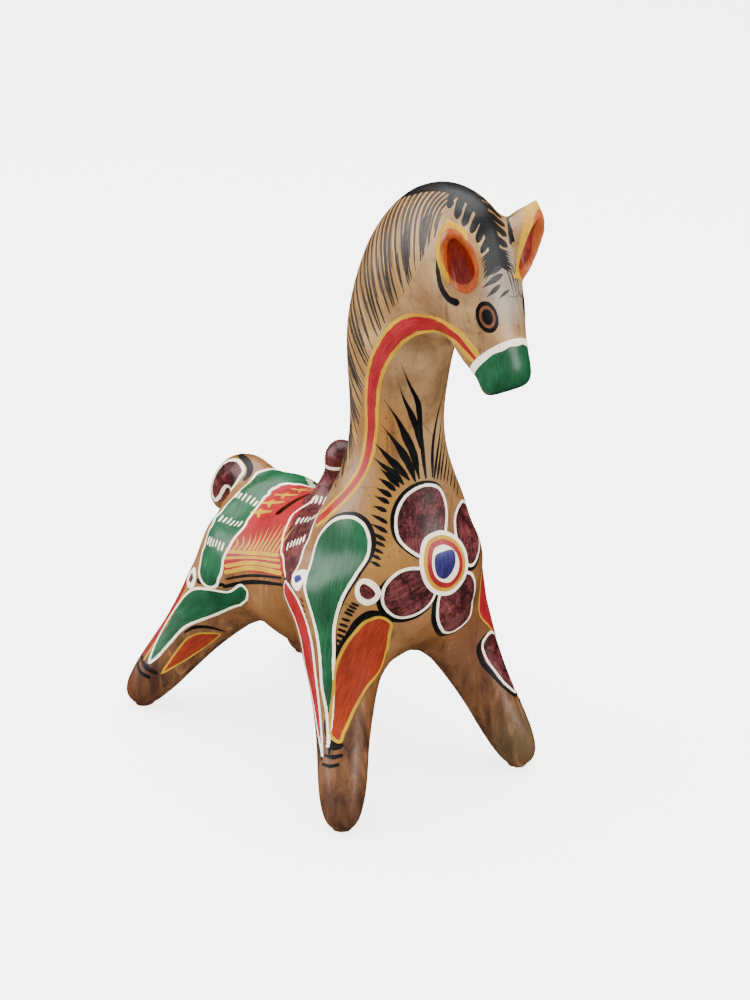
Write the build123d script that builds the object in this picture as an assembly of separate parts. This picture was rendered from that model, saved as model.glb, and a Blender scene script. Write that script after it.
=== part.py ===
"""Hand-built earthenware horse coin bank: a hollow standing horse on four splayed peg legs.

The potter presses the barrel, and the neck with its head, as left and right half shells and joins each
pair along a middle seam with slip. The legs, ears, tail, saddle cantle and saddle horn are made apart
and luted on. A coin slot is then cut across the seat of the saddle. Nothing on the fired piece moves.

Millimetres. +X is forward, out of the horse's chest, +Y is to its left and +Z is up. Every form is
made about the seam, at y = 0, with x = 0 halfway between the front and rear feet and z = 0 on the
ground. main() then moves the pieces so that the origin is on the ground under the middle of the
overall box.
"""

from build123d import *
import math
import os

# Driving dimensions
WALL = 5.5  # pressed clay wall of the barrel, neck and head
LEG_WALL = 4.5
SLOT_LENGTH = 42.0  # coin slot, across the horse
SLOT_WIDTH = 5.0  # coin slot, along the horse
SLOT_X = -14.0
VENT_RADIUS = 2.5  # hole pricked into each leg so that its air gets out in the kiln
BOX_MIDDLE = (19.13, -3.17, 0.0)  # the origin, before the pieces are moved

# Barrel sections, rump to chest: x, height of the centre, half width, half height
BARREL = [
    (-71.0, 92.0, 8.0, 7.0),
    (-68.0, 91.5, 16.5, 14.0),
    (-60.0, 90.0, 25.5, 21.0),
    (-44.0, 86.0, 34.0, 26.5),
    (-16.0, 83.2, 39.0, 34.3),
    (12.0, 87.3, 40.5, 38.2),
    (38.0, 97.5, 41.5, 40.0),
    (60.0, 103.0, 38.5, 37.5),
    (75.0, 107.0, 30.0, 29.5),
    (83.0, 108.0, 19.5, 19.4),
    (85.5, 108.5, 9.0, 8.9),
]
SMALLEST_HALF_SIZE = 2.5  # of a section of the hollow inside the barrel

# Neck and head sections: crest point (x, z), throat point (x, z), half width
NECK_AND_HEAD = [
    ((10.0, 118.0), (85.5, 108.0), 37.5),
    ((18.5, 135.0), (80.0, 131.0), 33.0),
    ((25.5, 150.0), (75.5, 148.0), 26.5),
    ((28.0, 165.0), (73.0, 164.0), 21.5),
    ((27.5, 181.0), (73.2, 179.5), 19.8),
    ((26.0, 197.0), (75.2, 193.5), 20.3),
    ((25.5, 215.5), (78.5, 205.5), 21.0),
    ((30.5, 238.0), (81.5, 213.5), 21.0),
    ((44.0, 264.5), (84.5, 218.5), 21.0),
    ((66.0, 284.5), (88.0, 222.0), 20.5),
    ((91.0, 290.0), (93.0, 224.0), 20.0),
    ((110.5, 280.8), (99.0, 223.5), 19.5),
    ((119.0, 260.5), (105.5, 220.0), 18.0),
    ((124.3, 243.5), (110.5, 216.0), 15.3),
    ((130.3, 231.0), (113.8, 213.0), 12.3),
    ((133.8, 221.5), (116.8, 208.5), 11.2),
    ((132.0, 214.5), (122.5, 209.0), 6.5),
]

# Legs: hip point, middle of the foot on the ground, and the radius at shares of the way from hip to toe
FRONT_HIP, FRONT_FOOT = (44.0, 24.0, 88.0), (76.5, 49.5)
REAR_HIP, LEFT_REAR_FOOT, RIGHT_REAR_FOOT = (-40.0, 18.0, 79.0), (-78.0, 38.5), (-77.0, 55.2)
FRONT_RADII = [(-0.1, 23.5), (0.15, 20.5), (0.4, 15.8), (0.7, 12.1), (1.0, 9.8)]
REAR_RADII = [(-0.1, 25.0), (0.15, 22.0), (0.4, 17.2), (0.7, 13.2), (1.0, 10.2)]
TOE_LENGTH = 1.15  # length of the domed toe, as a share of its radius
TOE_WEAR = 0.7  # how much of the toe is rubbed flat where it stands
VENT_SHARE = 0.2  # where the vent crosses the barrel's wall, as a share of the way from hip to toe

# Ears: pointed cups that face forward and outward
LEFT_EAR_CENTRE, RIGHT_EAR_CENTRE = (111.2, 18.4, 269.0), (112.3, -16.4, 269.0)
EAR_HALF_LENGTH, EAR_HALF_WIDTH = 17.5, 10.6
EAR_CUP_LENGTH, EAR_CUP_WIDTH = 14.0, 7.2
EAR_MOUTH_FORWARD, EAR_CUP_FORWARD = 5.0, 6.6  # of the middle of the ear
LEFT_EAR_TURN, RIGHT_EAR_TURN = 20.0, 35.0  # degrees outward from straight ahead
LEFT_EAR_LEAN, RIGHT_EAR_LEAN = 24.0, 17.0  # degrees outward from upright

# Tail sections, rump to tip: x, height of the centre, radius
TAIL = [
    (-50.0, 97.0, 14.0),
    (-61.0, 106.5, 11.8),
    (-72.5, 108.5, 10.0),
    (-82.3, 102.0, 9.3),
    (-87.3, 92.5, 8.7),
    (-88.3, 86.0, 5.3),
]

# Saddle: a cantle that swells across the back behind the slot, and a knobbed horn in front of it
CANTLE_CENTRE = (-47.0, 0.0, 91.0)
CANTLE_HALF_SIZE = (15.5, 32.5, 25.2)
HORN_FOOT, HORN_TOP = (2.5, 0.0, 112.0), (8.3, 0.0, 144.0)
HORN_RADII = [(0.0, 15.5), (0.35, 11.5), (0.6, 8.2), (0.76, 7.0), (1.0, 7.6)]


def half_oval(half_depth, half_width):
    """The left half of an oval section: half_depth along the seam and half_width out from it."""
    edge = EllipticalCenterArc((0, 0), half_depth, half_width, arc_size=180)
    return make_face([edge, Line(edge @ 1, edge @ 0)])


def barrel_half(inset=0.0):
    """The closed left half of the barrel, drawn in by inset all over."""
    rump, chest = BARREL[0][0], BARREL[-1][0]
    sections = []
    for x, height, half_width, half_height in BARREL:
        share = (2 * x - rump - chest) / (chest - rump)
        plane = Plane(origin=(x - inset * share, 0, height), x_dir=(0, 0, 1), z_dir=(-1, 0, 0))
        half_sizes = [max(size - inset, SMALLEST_HALF_SIZE) for size in (half_height, half_width)]
        sections.append(plane * half_oval(*half_sizes))
    return loft(sections)


def neck_half(inset=0.0):
    """The closed left half of the neck and head, drawn in by inset all over."""
    sections = []
    for crest, throat, half_width in NECK_AND_HEAD[:-1] if inset else NECK_AND_HEAD:
        back, front = Vector(crest[0], 0, crest[1]), Vector(throat[0], 0, throat[1])
        depth = front - back
        plane = Plane(origin=(back + front) / 2, x_dir=depth, z_dir=depth.cross(Vector(0, 1, 0)))
        sections.append(plane * half_oval(depth.length / 2 - inset, half_width - inset))
    return loft(sections)


def turned_form(start, end, radii, inset=0.0, dome=1.0):
    """A round form about the line from start to end; past the end, a dome this many radii long."""
    axis = end - start
    stations = [(radius - inset, share * axis.length) for share, radius in radii]
    end_radius, end_height = stations[-1]
    dome_length = end_radius * dome
    tip = (0, end_height + dome_length)
    shoulder = (end_radius * math.sqrt(0.5), end_height + dome_length * math.sqrt(0.5))
    flank = Spline(*stations, shoulder, tip, tangents=[(-0.25, 1), (-1, 0)])
    rest = Polyline(tip, (0, stations[0][1]), stations[0])
    profile = Plane.XZ * make_face([flank, rest])
    return Plane(origin=start, z_dir=axis) * revolve(profile, Axis.Z)


def leg_axis(hip, foot, radii):
    """The ends of a left leg's axis: the hip, and the middle of the dome whose tip is worn flat."""
    radius = radii[-1][1]
    top, toe = Vector(*hip), Vector(*foot, radius)
    upright = (top - toe).Z / (top - toe).length
    reach = math.hypot(radius * math.sqrt(1 - upright**2), radius * TOE_LENGTH * upright)
    return top, Vector(*foot, reach - TOE_WEAR)


def leg(hip, foot, radii, barrel):
    """A left leg, hollow to the ankle, that stops at the barrel, the middle of the horse and the ground."""
    top, toe = leg_axis(hip, foot, radii)
    beyond = Pos(0, 0, -50) * Box(400, 400, 100) + Pos(0, -50, 0) * Box(400, 100, 400)
    hollow = turned_form(top, toe, radii[:-1], LEG_WALL)
    return largest(turned_form(top, toe, radii, dome=TOE_LENGTH) - hollow - beyond - barrel)


def vent(hip, foot, radii):
    """The hole that joins a left leg's hollow to the chamber in the barrel."""
    top, toe = leg_axis(hip, foot, radii)
    return Plane(origin=top + (toe - top) * VENT_SHARE, z_dir=toe - top) * Cylinder(VENT_RADIUS, 60)


def bud(half_length, half_width):
    """A round upright form with a rounded foot and a pointed tip."""
    foot, side, tip = (0, -half_length), (half_width, 0), (0, half_length)
    lower = Spline(foot, side, tangents=[(1, 0), (0, 1)])
    upper = Spline(side, tip, tangents=[(0, 1), (-0.7, 1)])
    return revolve(Plane.XZ * make_face([lower, upper, Line(tip, foot)]), Axis.Z)


def ear(head, centre, turn, lean):
    """An ear turned and leaned to its left: a bud opened in front and scooped out, down to the head."""
    in_front = Pos(EAR_MOUTH_FORWARD + 50, 0, 0) * Box(100, 100, 100)
    cup = Pos(EAR_CUP_FORWARD, 0, 0) * bud(EAR_CUP_LENGTH, EAR_CUP_WIDTH)
    upright = bud(EAR_HALF_LENGTH, EAR_HALF_WIDTH) - in_front - cup
    return largest(Location(centre) * Rot(-lean, 0, 0) * Rot(0, 0, turn) * upright - head)


def tail_form():
    """The closed tail, a thick tube that leaves the rump upward, bends over and hangs."""
    points = [Vector(x, 0, height) for x, height, radius in TAIL]
    sections = []
    for i, (x, height, radius) in enumerate(TAIL):
        along = points[min(i + 1, len(points) - 1)] - points[max(i - 1, 0)]
        sections.append(Plane(origin=points[i], x_dir=(0, 1, 0), z_dir=along) * Circle(radius))
    return loft(sections)


def across(shape):
    """The same shape on the other side of the seam."""
    return mirror(shape, about=Plane.XZ)


def largest(shape):
    """The largest solid of a shape, leaving out slivers."""
    return max(shape.solids(), key=lambda solid: solid.volume)


def main():
    barrel, chamber = barrel_half(), barrel_half(WALL)
    neck, throat = neck_half(), neck_half(WALL)
    whole_barrel, whole_neck = barrel + across(barrel), neck + across(neck)
    slot = Pos(SLOT_X, 0, 120) * Box(SLOT_WIDTH, SLOT_LENGTH, 60)

    pieces = {}
    for side, rear_foot in [("left", LEFT_REAR_FOOT), ("right", RIGHT_REAR_FOOT)]:
        vents = vent(FRONT_HIP, FRONT_FOOT, FRONT_RADII) + vent(REAR_HIP, rear_foot, REAR_RADII)
        made_left = {
            "barrel": largest(barrel - chamber - throat - slot - vents),
            "neck_head": largest(neck - throat - whole_barrel),
            "leg_front": leg(FRONT_HIP, FRONT_FOOT, FRONT_RADII, whole_barrel),
            "leg_rear": leg(REAR_HIP, rear_foot, REAR_RADII, whole_barrel),
        }
        for name, shape in made_left.items():
            pieces[f"{name}_{side}"] = shape if side == "left" else across(shape)

    pieces["ear_left"] = ear(whole_neck, LEFT_EAR_CENTRE, LEFT_EAR_TURN, LEFT_EAR_LEAN)
    pieces["ear_right"] = ear(whole_neck, RIGHT_EAR_CENTRE, -RIGHT_EAR_TURN, -RIGHT_EAR_LEAN)

    cantle = Pos(*CANTLE_CENTRE) * scale(Sphere(1), by=CANTLE_HALF_SIZE)
    horn = turned_form(Vector(*HORN_FOOT), Vector(*HORN_TOP), HORN_RADII)
    rear_legs = pieces["leg_rear_left"] + pieces["leg_rear_right"]
    pieces["saddle_cantle"] = largest(cantle - whole_barrel - rear_legs)
    pieces["saddle_horn"] = largest(horn - whole_barrel - whole_neck)
    pieces["tail"] = largest(tail_form() - whole_barrel - cantle)

    os.makedirs("parts", exist_ok=True)
    to_origin = Pos(-BOX_MIDDLE[0], -BOX_MIDDLE[1], -BOX_MIDDLE[2])
    for name, shape in pieces.items():
        export_step(to_origin * shape, f"parts/{name}.step")
    whole = Compound(children=[to_origin * shape for shape in pieces.values()]).bounding_box()
    print("overall box from", whole.min, "to", whole.max)


main()
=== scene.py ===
"""Painted clay horse coin bank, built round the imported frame.

The clay pieces are one continuous skin, closed over every luted joint, then parted again where the
CAD pieces meet. The paint is made of thin pieces laid on that skin, one for each stroke or leaf.
Positions are in millimetres in the potter's frame: the seam is y = 0, x = 0 is halfway between the
front and rear feet, z = 0 is the ground, +X is forward and +Y is the horse's left.
"""

import math
import random

import bpy
import numpy as np
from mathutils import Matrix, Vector
from mathutils.bvhtree import BVHTree
from mathutils.geometry import delaunay_2d_cdt


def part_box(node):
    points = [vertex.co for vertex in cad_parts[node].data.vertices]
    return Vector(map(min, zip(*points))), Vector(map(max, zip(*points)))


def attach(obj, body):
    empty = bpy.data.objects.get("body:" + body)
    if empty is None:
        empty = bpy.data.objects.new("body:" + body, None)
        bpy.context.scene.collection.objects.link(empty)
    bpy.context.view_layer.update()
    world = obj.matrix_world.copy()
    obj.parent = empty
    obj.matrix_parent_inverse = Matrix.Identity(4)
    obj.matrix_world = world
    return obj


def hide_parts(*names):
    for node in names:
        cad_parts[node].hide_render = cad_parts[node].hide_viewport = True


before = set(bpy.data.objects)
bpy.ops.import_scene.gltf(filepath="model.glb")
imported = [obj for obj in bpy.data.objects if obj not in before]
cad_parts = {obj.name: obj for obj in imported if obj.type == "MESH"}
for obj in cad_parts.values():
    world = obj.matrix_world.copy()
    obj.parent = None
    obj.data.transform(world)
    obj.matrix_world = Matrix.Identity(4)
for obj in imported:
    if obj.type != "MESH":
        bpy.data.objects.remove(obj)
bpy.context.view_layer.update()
random.seed(11)

# ---------------------------------------------------------------- sizes, millimetres
VOXEL = 1.05  # of the clay skin
SWELL = 0.4  # how far the CAD pieces are swelled so that they join up
SINK = 0.55  # how far the joined skin is drawn in again, which leaves room for the paint
WAVE = 0.2  # most that the potter's hands leave uneven
SHELL = 1.7  # thickness of the clay shell
FILLET = 4.0  # how far the clay fills out where a leg joins
LEG_JOINT, OTHER_JOINT = 12.0, 8.0  # widths over which the joints are smoothed
EAR_PINCH = 0.2  # share of its width by which each ear is narrowed
EAR_REACH = 4.0  # how far from the ear the narrowing fades out
PAINT_ROOT = 0.3  # how far a coat of paint reaches into the clay
SLOT_DEPTH = 5.5
SLOT_HALF_LENGTH, SLOT_HALF_WIDTH = 21.0, 2.5
RUMP_X = -71.0  # rear end of the barrel in the potter's frame
BARREL_AXIS_Z = 92.0
HORN_X = 7.6

SEAM_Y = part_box("barrel_left")[0].y
ORIGIN = np.array([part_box("barrel_left")[0].x - RUMP_X / 1000, SEAM_Y, 0.0])


def to_row(points):
    return np.asarray(points, float) / 1000 + ORIGIN


def to_potter(points):
    return (np.asarray(points, float) - ORIGIN) * 1000


# ---------------------------------------------------------------- mesh arithmetic
def unit(v):
    return v / np.maximum(np.linalg.norm(v, axis=-1, keepdims=True), 1e-12)


def mesh_arrays(mesh):
    """Vertices and triangles of a Blender mesh."""
    mesh.calc_loop_triangles()
    points = np.empty(len(mesh.vertices) * 3)
    mesh.vertices.foreach_get("co", points)
    triangles = np.empty(len(mesh.loop_triangles) * 3, np.int32)
    mesh.loop_triangles.foreach_get("vertices", triangles)
    return points.reshape(-1, 3), triangles.reshape(-1, 3)


def weld(points, triangles, step=0.002):
    keys = np.round(points / step).astype(np.int64)
    _, first, inverse = np.unique(keys, axis=0, return_index=True, return_inverse=True)
    triangles = inverse.reshape(-1)[triangles]
    a, b, c = triangles.T
    return points[first], triangles[(a != b) & (b != c) & (a != c)]


def vertex_normals(points, triangles):
    a, b, c = (points[triangles[:, i]] for i in range(3))
    face = np.cross(b - a, c - a)
    total = np.zeros_like(points)
    for i in range(3):
        np.add.at(total, triangles[:, i], face)
    return unit(total)


def smooth(values, triangles, rounds, share=0.5, weight=None):
    """Average each vertex with its neighbours, as often as asked, where weight says."""
    edges = np.concatenate([triangles[:, [0, 1]], triangles[:, [1, 2]], triangles[:, [2, 0]]])
    count = np.bincount(edges[:, 0], minlength=len(values)) + np.bincount(edges[:, 1], minlength=len(values))
    count = np.maximum(count, 1)[:, None]
    amount = share if weight is None else share * weight[:, None]
    for _ in range(rounds):
        total = np.zeros_like(values)
        for i in range(values.shape[1]):
            total[:, i] = np.bincount(edges[:, 0], values[edges[:, 1], i], len(values))
            total[:, i] += np.bincount(edges[:, 1], values[edges[:, 0], i], len(values))
        values = values + (total / count - values) * amount
    return values


def largest_part(points, triangles):
    """The connected part of a mesh with the longest diagonal."""
    root = np.arange(len(points))
    edges = np.concatenate([triangles[:, [0, 1]], triangles[:, [1, 2]]])
    while True:
        before = root.copy()
        low = np.minimum(root[edges[:, 0]], root[edges[:, 1]])
        np.minimum.at(root, edges[:, 0], low)
        np.minimum.at(root, edges[:, 1], low)
        root = root[root]
        root = root[root]
        if (root == before).all():
            break
    best, best_size = 0, 0
    for r in np.unique(root):
        part = points[root == r]
        size = np.linalg.norm(part.max(0) - part.min(0))
        if size > best_size:
            best, best_size = r, size
    return compact(points, triangles[root[triangles[:, 0]] == best])


def compact(points, triangles, *extra):
    used = np.unique(triangles)
    index = np.full(len(points), -1)
    index[used] = np.arange(len(used))
    return (points[used], index[triangles], *(e[used] for e in extra))


def cut(points, triangles, data, value):
    """Split the triangles along the line where value is zero. data is one row for each vertex."""
    value = np.where(abs(value) < 0.02, 0.0, value)
    sign = np.sign(value)[triangles]
    crossed = (sign.min(1) < 0) & (sign.max(1) > 0)
    kept, split = triangles[~crossed], triangles[crossed]
    sides = np.concatenate([split[:, [0, 1]], split[:, [1, 2]], split[:, [2, 0]]])
    sides = np.unique(np.sort(sides, 1), axis=0)
    sides = sides[value[sides[:, 0]] * value[sides[:, 1]] < 0]
    share = value[sides[:, 0]] / (value[sides[:, 0]] - value[sides[:, 1]])
    share = share[:, None]
    new_points = points[sides[:, 0]] * (1 - share) + points[sides[:, 1]] * share
    new_data = data[sides[:, 0]] * (1 - share) + data[sides[:, 1]] * share
    code = sides[:, 0].astype(np.int64) * len(points) + sides[:, 1]

    def between(a, b):
        wanted = np.minimum(a, b).astype(np.int64) * len(points) + np.maximum(a, b)
        return len(points) + np.searchsorted(code, wanted)

    made = [kept]
    sign = np.sign(value)[split]
    for i in range(3):
        one, two, three = split[:, i], split[:, (i + 1) % 3], split[:, (i + 2) % 3]
        s1, s2, s3 = sign[:, i], sign[:, (i + 1) % 3], sign[:, (i + 2) % 3]
        alone = (s1 != 0) & (s2 == -s1) & (s3 == -s1)
        a, b, c = one[alone], two[alone], three[alone]
        ab, ac = between(a, b), between(a, c)
        made += [np.stack([a, ab, ac], 1), np.stack([ab, b, c], 1), np.stack([ab, c, ac], 1)]
        touching = (s1 == 0) & (s2 * s3 < 0)
        a, b, c = one[touching], two[touching], three[touching]
        bc = between(b, c)
        made += [np.stack([a, b, bc], 1), np.stack([a, bc, c], 1)]
    new_value = np.concatenate([value, np.zeros(len(sides))])
    return np.concatenate([points, new_points]), np.concatenate(made), np.concatenate([data,
                                                                                       new_data]), new_value


def rim_edges(triangles):
    """Directed edges that only one triangle uses."""
    edges = np.concatenate([triangles[:, [0, 1]], triangles[:, [1, 2]], triangles[:, [2, 0]]])
    edges = edges.astype(np.int64)
    big = int(triangles.max()) + 1
    forward = edges[:, 0] * big + edges[:, 1]
    backward = edges[:, 1] * big + edges[:, 0]
    return edges[~np.isin(forward, backward)]


def add_object(name, points, faces, normals, material, brush=None):
    """A piece of the object. normals is one row for each corner of each face, or None."""
    mesh = bpy.data.meshes.new(name)
    mesh.from_pydata(to_row(points).tolist(), [], faces)
    mesh.materials.append(material)
    mesh.polygons.foreach_set("use_smooth", [True] * len(mesh.polygons))
    if brush is not None:
        attribute = mesh.attributes.new("brush", "FLOAT_VECTOR", "POINT")
        attribute.data.foreach_set("vector", np.asarray(brush, np.float32).ravel())
    if normals is not None:
        mesh.normals_split_custom_set(normals.tolist())
    made = bpy.data.objects.new(name, mesh)
    bpy.context.scene.collection.objects.link(made)
    return made


def close_shell(points, triangles, outward, inner):
    """A closed solid from an open surface and the matching inner points: points, faces, corner normals."""
    count = len(points)
    rims = rim_edges(triangles)
    walls = np.stack([rims[:, 1], rims[:, 0], rims[:, 0] + count, rims[:, 1] + count], 1)
    every = np.concatenate([points, inner])
    wall_normal = unit(np.cross(every[walls[:, 1]] - every[walls[:, 0]],
                                every[walls[:, 3]] - every[walls[:, 0]]))
    faces = triangles.tolist() + (triangles[:, ::-1] + count).tolist() + walls.tolist()
    corners = np.concatenate([
        outward[triangles].reshape(-1, 3),
        -outward[triangles[:, ::-1]].reshape(-1, 3),
        np.repeat(wall_normal, 4, axis=0),
    ])
    return every, faces, corners


# ---------------------------------------------------------------- materials
class Shader:
    """Short names for building one node material."""

    def __init__(self, name):
        self.material = bpy.data.materials.new(name)
        self.material.use_nodes = True
        self.nodes, self.links = self.material.node_tree.nodes, self.material.node_tree.links
        self.surface = self.nodes["Principled BSDF"]

    def node(self, kind, settings=None, **inputs):
        made = self.nodes.new(kind)
        for key, value in (settings or {}).items():
            setattr(made, key, value)
        for key, value in inputs.items():
            self.plug(made.inputs[key.replace("_", " ")], value)
        return made

    def plug(self, socket, value):
        if isinstance(value, bpy.types.NodeSocket):
            self.links.new(value, socket)
        else:
            socket.default_value = value

    def coordinates(self, scale=(1, 1, 1), attribute=None):
        if attribute:
            source = self.node("ShaderNodeAttribute", {"attribute_name": attribute}).outputs["Vector"]
        else:
            source = self.node("ShaderNodeTexCoord").outputs["Object"]
        return self.node("ShaderNodeMapping", Vector=source, Scale=scale).outputs["Vector"]

    def noise(self, vector, scale, detail=3.0, roughness=0.55, distortion=0.0):
        made = self.node("ShaderNodeTexNoise", Vector=vector, Scale=scale, Detail=detail,
                         Roughness=roughness)
        made.inputs["Distortion"].default_value = distortion
        return made.outputs["Fac"]

    def ramp(self, value, *stops):
        """stops are (position, grey or colour)."""
        made = self.node("ShaderNodeValToRGB", Fac=value)
        elements = made.color_ramp.elements
        while len(elements) < len(stops):
            elements.new(0.5)
        for element, (position, colour) in zip(elements, stops):
            element.position = position
            element.color = (colour, colour, colour, 1) if isinstance(colour, (int, float)) else (*colour, 1)
        return made.outputs["Color"]

    def mix(self, share, a, b, kind="MIX"):
        made = self.node("ShaderNodeMix", {"data_type": "RGBA", "blend_type": kind})
        self.plug(made.inputs[0], share)
        for socket, value in ((made.inputs[6], a), (made.inputs[7], b)):
            self.plug(socket, (*value, 1) if isinstance(value, tuple) and len(value) == 3 else value)
        return made.outputs[2]

    def math(self, kind, a, b=0.0):
        made = self.node("ShaderNodeMath", {"operation": kind, "use_clamp": True})
        self.plug(made.inputs[0], a)
        self.plug(made.inputs[1], b)
        return made.outputs[0]

    def near(self, point, radius):
        """1 at a point of the horse, fading to 0 at the radius."""
        here = self.node("ShaderNodeTexCoord").outputs["Object"]
        far = self.node("ShaderNodeVectorMath", {"operation": "DISTANCE"})
        self.plug(far.inputs[0], here)
        far.inputs[1].default_value = Vector(to_row(point))
        fade = self.node("ShaderNodeMapRange", {"interpolation_type": "SMOOTHSTEP"},
                         Value=far.outputs["Value"])
        fade.inputs["From Min"].default_value = 0.15 * radius / 1000
        fade.inputs["From Max"].default_value = radius / 1000
        fade.inputs["To Min"].default_value = 1.0
        fade.inputs["To Max"].default_value = 0.0
        return fade.outputs["Result"]

    def bump(self, height, strength, distance):
        made = self.node("ShaderNodeBump", Strength=strength, Distance=distance, Height=height)
        self.plug(self.surface.inputs["Normal"], made.outputs["Normal"])


def linear(red, green, blue):
    """A colour given as it looks on a screen, 0 to 255."""
    return tuple(((c / 255 + 0.055) / 1.055) ** 2.4 if c > 10 else c / 255 / 12.92 for c in (red, green,
                                                                                             blue))


def clay_material():
    """Honey-brown clay under varnish: cloudy, streaked upright, with dark specks and hair cracks."""
    s = Shader("varnished_clay")
    here = s.coordinates()
    tall = s.coordinates((1, 1, 0.22))
    cloud = s.noise(here, 26.0, 4.0, 0.6, 0.6)
    streak = s.noise(tall, 150.0, 4.0, 0.62, 0.8)
    fine = s.noise(here, 420.0, 3.0, 0.6)
    body = s.ramp(cloud, (0.30, linear(100, 58, 26)), (0.48, linear(130, 82, 38)),
                  (0.68, linear(154, 104, 54)))
    height = s.node("ShaderNodeSeparateXYZ",
                    Vector=s.node("ShaderNodeTexCoord").outputs["Object"]).outputs["Z"]
    upper = s.node("ShaderNodeMapRange", {"interpolation_type": "SMOOTHSTEP"}, Value=height)
    upper.inputs["From Min"].default_value = 0.115
    upper.inputs["From Max"].default_value = 0.170
    neck = s.ramp(cloud, (0.32, linear(108, 74, 40)), (0.50, linear(146, 108, 62)),
                  (0.68, linear(178, 140, 88)))
    colour = s.mix(upper.outputs["Result"], body, neck)
    lower = s.node("ShaderNodeMapRange", {"interpolation_type": "SMOOTHSTEP"}, Value=height)
    lower.inputs["From Min"].default_value = 0.035
    lower.inputs["From Max"].default_value = 0.075
    foot = s.ramp(streak, (0.34, linear(72, 40, 19)), (0.52, linear(108, 66, 32)),
                  (0.68, linear(142, 94, 50)))
    colour = s.mix(lower.outputs["Result"], foot, colour)
    # Tints at listed points: most are the clay's own colour, the pale forehead patch is a painted highlight
    # and the dark red along the coin slot is painted shade
    for point, radius, tint, amount in CLAY_TINTS_AND_PAINTED_LIGHT:
        share = s.math("MULTIPLY", s.near(point, radius), amount)
        colour = s.mix(share, colour, tint)
    dark_streak = s.ramp(streak, (0.28, 1.0), (0.46, 0.0))
    colour = s.mix(s.math("MULTIPLY", dark_streak, 0.5), colour, linear(66, 38, 20))
    pale_streak = s.ramp(streak, (0.60, 0.0), (0.78, 1.0))
    colour = s.mix(s.math("MULTIPLY", pale_streak, 0.28), colour, linear(196, 152, 96))
    cells = s.node("ShaderNodeTexVoronoi", {"feature": "DISTANCE_TO_EDGE"}, Vector=here, Scale=52.0)
    hair = s.ramp(cells.outputs["Distance"], (0.0, 1.0), (0.022, 0.0))
    patches = s.ramp(s.noise(here, 38.0, 2.0), (0.52, 0.0), (0.62, 1.0))
    cracks = s.math("MULTIPLY", s.math("MULTIPLY", hair, patches), 0.6)
    colour = s.mix(cracks, colour, linear(44, 26, 15))
    specks = s.ramp(fine, (0.30, 1.0), (0.36, 0.0))
    colour = s.mix(s.math("MULTIPLY", specks, 0.55), colour, linear(46, 28, 17))
    s.plug(s.surface.inputs["Base Color"], colour)
    s.plug(s.surface.inputs["Roughness"], s.ramp(cloud, (0.3, 0.36), (0.7, 0.50)))
    s.surface.inputs["Coat Weight"].default_value = 0.45
    s.surface.inputs["Coat Roughness"].default_value = 0.22
    relief = s.math("ADD", s.math("MULTIPLY", streak, 0.6), s.math("MULTIPLY", fine, 0.4))
    s.bump(relief, 0.35, 0.0006)
    return s.material


def paint_material(name, dark, middle, light, mottle=0.0, rough=0.42, coat=0.22):
    """Brushed enamel: streaks along the stroke, thin in places; mottle adds sponge-like blotches."""
    s = Shader(name)
    along = s.coordinates((0.10, 1.0, 1.0), attribute="brush")
    here = s.coordinates()
    streak = s.noise(along, 1.3, 4.0, 0.6, 0.3)
    cloud = s.noise(here, 60.0, 3.0, 0.5, 0.4)
    both = s.math("ADD", s.math("MULTIPLY", streak, 0.55), s.math("MULTIPLY", cloud, 0.45))
    colour = s.ramp(both, (0.36, dark), (0.50, middle), (0.66, light))
    if mottle:
        blotch = s.noise(here, 420.0, 4.0, 0.7, 1.2)
        large = s.noise(here, 110.0, 3.0, 0.6, 0.8)
        mixed = s.math("ADD", s.math("MULTIPLY", blotch, 0.6), s.math("MULTIPLY", large, 0.4))
        colour = s.mix(s.ramp(mixed, (0.42, mottle), (0.52, 0.0)), colour, tuple(c * 0.22 for c in dark))
        colour = s.mix(s.ramp(mixed, (0.52, 0.0), (0.66, mottle * 0.6)), colour, light)
    s.plug(s.surface.inputs["Base Color"], colour)
    s.surface.inputs["Roughness"].default_value = rough
    s.surface.inputs["Specular IOR Level"].default_value = 0.32
    s.surface.inputs["Coat Weight"].default_value = coat
    s.surface.inputs["Coat Roughness"].default_value = 0.26
    s.bump(streak, 0.18, 0.0004)
    return s.material


# Warm and dark places in the clay, with painted light among them (a painted highlight on the forehead,
# painted shade along the coin slot): point, radius, colour, strength
CLAY_TINTS_AND_PAINTED_LIGHT = [
    ((66, -20, 178), 26, linear(156, 98, 18), 0.75),
    ((72, -22, 150), 26, linear(158, 108, 30), 0.80),
    ((78, -24, 125), 34, linear(150, 104, 36), 0.85),
    ((62, -14, 205), 20, linear(112, 72, 34), 0.6),
    ((74, 10, 200), 26, linear(112, 74, 38), 0.6),
    ((64, -36, 98), 20, linear(150, 106, 40), 0.6),
    ((79, -14, 226), 18, linear(104, 66, 32), 0.75),
    ((100, -18, 244), 20, linear(112, 70, 36), 0.7),
    # painted highlight: a pale grey patch where the varnish on the forehead reflects the light
    ((122, 5, 252), 20, linear(146, 134, 120), 0.85),
    ((84, -18, 262), 18, linear(150, 116, 74), 0.5),
    ((80, 48, 16), 24, linear(84, 70, 42), 0.75),
    ((68, 34, 68), 26, linear(92, 48, 22), 0.7),
    ((8, -38, 70), 40, linear(124, 78, 32), 0.6),
    ((78, -52, 14), 18, linear(70, 38, 18), 0.6),
    ((-80, -60, 10), 20, linear(82, 40, 20), 0.75),
]

# Painted shade: dark red laid on the clay along the coin slot, so that its walls look shaded
CLAY_TINTS_AND_PAINTED_LIGHT += [((-14, y, 111), 9, linear(58, 12, 12), 1.0) for y in (-18, -9, 0, 9, 18)]  # the coin slot's walls

CLAY = clay_material()

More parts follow.
